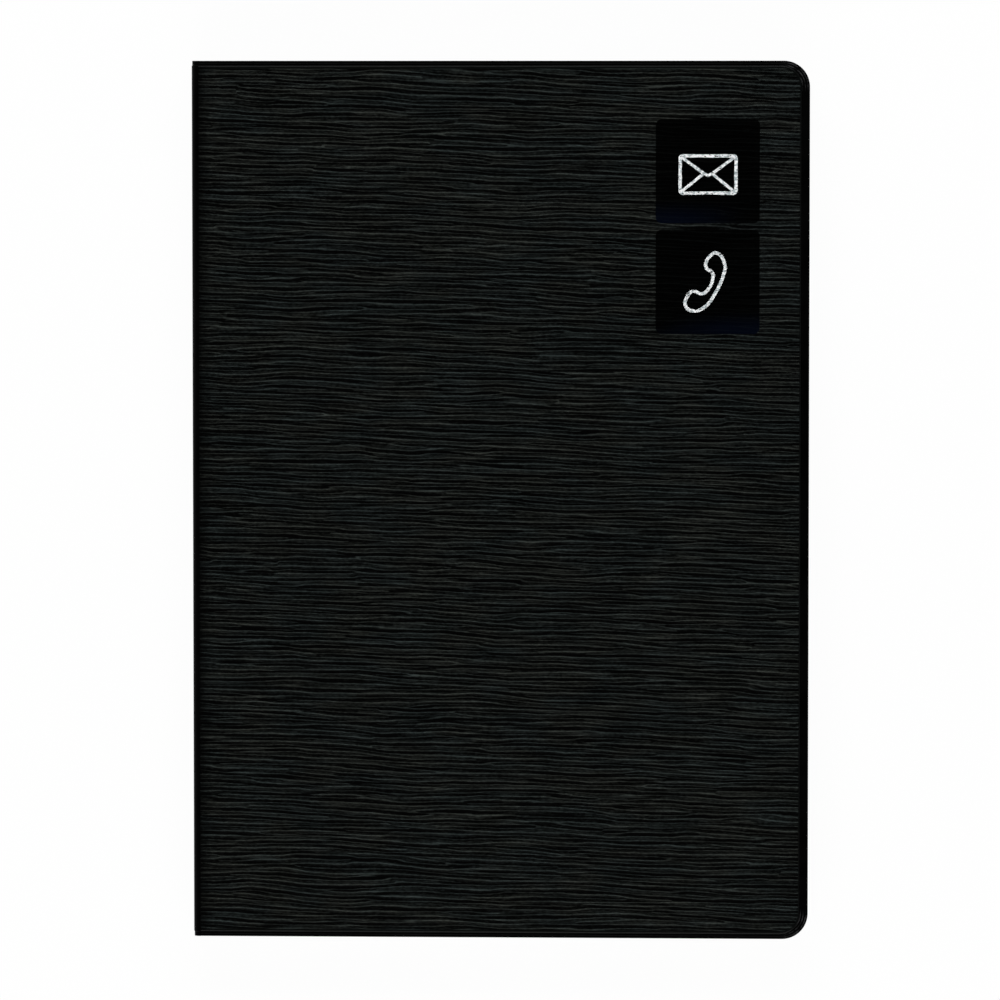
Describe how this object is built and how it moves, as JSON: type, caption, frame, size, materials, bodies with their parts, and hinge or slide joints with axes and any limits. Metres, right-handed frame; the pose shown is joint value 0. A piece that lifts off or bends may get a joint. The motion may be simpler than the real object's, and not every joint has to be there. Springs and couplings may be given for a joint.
{
  "type": "address book",
  "caption": "Black vinyl-covered address book with a welded rim, pressed squares with foil signs and a leaf block with a step-cut letter index that opens flat.",
  "frame": {"origin": "middle of the closed cover's outline, on the face it lies on", "axes": "+X from spine to fore-edge, +Y from tail to head, +Z out of the front cover"},
  "size_m": [0.1524, 0.217, 0.0105],
  "materials": {
    "skin": "black vinyl, embossed with wavy horizontal streaks",
    "lining": "smooth black vinyl sheet",
    "board": "grey board",
    "card": "stiff white card",
    "paper": "uncoated writing paper",
    "gauze": "woven gauze stiffened with glue",
    "foil": "hot-pressed silver foil, lightly mottled",
    "ink": "black printing ink on paper"
  },
  "bodies": {
    "back_cover": {"back_cover_skin": "skin", "back_cover_board": "board", "back_cover_lining": "lining", "back_pocket_flap": "lining", "back_end_card": "card", "back_fold_skin": "skin", "block_gauze": "gauze"},
    "spine": {"spine_skin": "skin", "spine_lining": "lining", "front_fold_skin": "skin"},
    "front_cover": {"front_cover_skin": "skin", "front_cover_board": "board", "front_cover_lining": "lining", "front_pocket_flap": "lining", "front_end_card": "card"},
    "section_a": {"index_section_a": "paper"},
    "section_b": {"index_section_b": "paper"},
    "section_c": {"index_section_c": "paper"},
    "section_d": {"index_section_d": "paper"},
    "section_e": {"index_section_e": "paper"},
    "section_f": {"index_section_f": "paper"},
    "section_g": {"index_section_g": "paper"},
    "section_h": {"index_section_h": "paper"},
    "section_ij": {"index_section_ij": "paper"},
    "section_k": {"index_section_k": "paper"},
    "section_l": {"index_section_l": "paper"},
    "section_m": {"index_section_m": "paper"},
    "section_n": {"index_section_n": "paper"},
    "section_o": {"index_section_o": "paper"},
    "section_pq": {"index_section_pq": "paper"},
    "section_r": {"index_section_r": "paper"},
    "section_s": {"index_section_s": "paper"},
    "section_t": {"index_section_t": "paper"},
    "section_u": {"index_section_u": "paper"},
    "section_v": {"index_section_v": "paper"},
    "section_w": {"index_section_w": "paper"},
    "section_xyz": {"index_section_xyz": "paper"}
  },
  "joints": [
    {"name": "spine_fold", "type": "hinge", "parent": "back_cover", "child": "spine", "pos_m": [-0.07586, 0, 0.00034], "axis": [0, -1, 0], "range_deg": [0, 90], "deforming": ["back_fold_skin"]},
    {"name": "front_fold", "type": "hinge", "parent": "spine", "child": "front_cover", "pos_m": [-0.07586, 0, 0.01017], "axis": [0, -1, 0], "range_deg": [0, 90], "deforming": ["front_fold_skin"]},
    {"name": "turn_a", "type": "hinge", "parent": "back_cover", "child": "section_a", "pos_m": [-0.0745, 0, 0.00526], "axis": [0, -1, 0], "range_deg": [0, 179.4], "deforming": ["block_gauze"]},
    {"name": "turn_b", "type": "hinge", "parent": "back_cover", "child": "section_b", "pos_m": [-0.0745, 0, 0.00526], "axis": [0, -1, 0], "range_deg": [0, 178.8]},
    {"name": "turn_c", "type": "hinge", "parent": "back_cover", "child": "section_c", "pos_m": [-0.0745, 0, 0.00526], "axis": [0, -1, 0], "range_deg": [0, 178.2]},
    {"name": "turn_d", "type": "hinge", "parent": "back_cover", "child": "section_d", "pos_m": [-0.0745, 0, 0.00526], "axis": [0, -1, 0], "range_deg": [0, 177.6]},
    {"name": "turn_e", "type": "hinge", "parent": "back_cover", "child": "section_e", "pos_m": [-0.0745, 0, 0.00526], "axis": [0, -1, 0], "range_deg": [0, 177]},
    {"name": "turn_f", "type": "hinge", "parent": "back_cover", "child": "section_f", "pos_m": [-0.0745, 0, 0.00526], "axis": [0, -1, 0], "range_deg": [0, 176.4]},
    {"name": "turn_g", "type": "hinge", "parent": "back_cover", "child": "section_g", "pos_m": [-0.0745, 0, 0.00526], "axis": [0, -1, 0], "range_deg": [0, 175.8]},
    {"name": "turn_h", "type": "hinge", "parent": "back_cover", "child": "section_h", "pos_m": [-0.0745, 0, 0.00526], "axis": [0, -1, 0], "range_deg": [0, 175.2]},
    {"name": "turn_ij", "type": "hinge", "parent": "back_cover", "child": "section_ij", "pos_m": [-0.0745, 0, 0.00526], "axis": [0, -1, 0], "range_deg": [0, 174.6]},
    {"name": "turn_k", "type": "hinge", "parent": "back_cover", "child": "section_k", "pos_m": [-0.0745, 0, 0.00526], "axis": [0, -1, 0], "range_deg": [0, 174]},
    {"name": "turn_l", "type": "hinge", "parent": "back_cover", "child": "section_l", "pos_m": [-0.0745, 0, 0.00526], "axis": [0, -1, 0], "range_deg": [0, 173.4]},
    {"name": "turn_m", "type": "hinge", "parent": "back_cover", "child": "section_m", "pos_m": [-0.0745, 0, 0.00526], "axis": [0, -1, 0], "range_deg": [0, 6.6]},
    {"name": "turn_n", "type": "hinge", "parent": "back_cover", "child": "section_n", "pos_m": [-0.0745, 0, 0.00526], "axis": [0, -1, 0], "range_deg": [0, 6]},
    {"name": "turn_o", "type": "hinge", "parent": "back_cover", "child": "section_o", "pos_m": [-0.0745, 0, 0.00526], "axis": [0, -1, 0], "range_deg": [0, 5.4]},
    {"name": "turn_pq", "type": "hinge", "parent": "back_cover", "child": "section_pq", "pos_m": [-0.0745, 0, 0.00526], "axis": [0, -1, 0], "range_deg": [0, 4.8]},
    {"name": "turn_r", "type": "hinge", "parent": "back_cover", "child": "section_r", "pos_m": [-0.0745, 0, 0.00526], "axis": [0, -1, 0], "range_deg": [0, 4.2]},
    {"name": "turn_s", "type": "hinge", "parent": "back_cover", "child": "section_s", "pos_m": [-0.0745, 0, 0.00526], "axis": [0, -1, 0], "range_deg": [0, 3.6]},
    {"name": "turn_t", "type": "hinge", "parent": "back_cover", "child": "section_t", "pos_m": [-0.0745, 0, 0.00526], "axis": [0, -1, 0], "range_deg": [0, 3]},
    {"name": "turn_u", "type": "hinge", "parent": "back_cover", "child": "section_u", "pos_m": [-0.0745, 0, 0.00526], "axis": [0, -1, 0], "range_deg": [0, 2.4]},
    {"name": "turn_v", "type": "hinge", "parent": "back_cover", "child": "section_v", "pos_m": [-0.0745, 0, 0.00526], "axis": [0, -1, 0], "range_deg": [0, 1.8]},
    {"name": "turn_w", "type": "hinge", "parent": "back_cover", "child": "section_w", "pos_m": [-0.0745, 0, 0.00526], "axis": [0, -1, 0], "range_deg": [0, 1.2]},
    {"name": "turn_xyz", "type": "hinge", "parent": "back_cover", "child": "section_xyz", "pos_m": [-0.0745, 0, 0.00526], "axis": [0, -1, 0], "range_deg": [0, 0.6]}
  ],
  "couplings": [
    {"joint": "front_fold", "follows": "spine_fold", "ratio": 1},
    {"joint": "turn_a", "follows": "spine_fold", "ratio": 1.9933},
    {"joint": "turn_b", "follows": "spine_fold", "ratio": 1.9867},
    {"joint": "turn_c", "follows": "spine_fold", "ratio": 1.98},
    {"joint": "turn_d", "follows": "spine_fold", "ratio": 1.9733},
    {"joint": "turn_e", "follows": "spine_fold", "ratio": 1.9667},
    {"joint": "turn_f", "follows": "spine_fold", "ratio": 1.96},
    {"joint": "turn_g", "follows": "spine_fold", "ratio": 1.9533},
    {"joint": "turn_h", "follows": "spine_fold", "ratio": 1.9467},
    {"joint": "turn_ij", "follows": "spine_fold", "ratio": 1.94},
    {"joint": "turn_k", "follows": "spine_fold", "ratio": 1.9333},
    {"joint": "turn_l", "follows": "spine_fold", "ratio": 1.9267},
    {"joint": "turn_m", "follows": "spine_fold", "ratio": 0.073333},
    {"joint": "turn_n", "follows": "spine_fold", "ratio": 0.066667},
    {"joint": "turn_o", "follows": "spine_fold", "ratio": 0.06},
    {"joint": "turn_pq", "follows": "spine_fold", "ratio": 0.053333},
    {"joint": "turn_r", "follows": "spine_fold", "ratio": 0.046667},
    {"joint": "turn_s", "follows": "spine_fold", "ratio": 0.04},
    {"joint": "turn_t", "follows": "spine_fold", "ratio": 0.033333},
    {"joint": "turn_u", "follows": "spine_fold", "ratio": 0.026667},
    {"joint": "turn_v", "follows": "spine_fold", "ratio": 0.02},
    {"joint": "turn_w", "follows": "spine_fold", "ratio": 0.013333},
    {"joint": "turn_xyz", "follows": "spine_fold", "ratio": 0.006667}
  ]
}
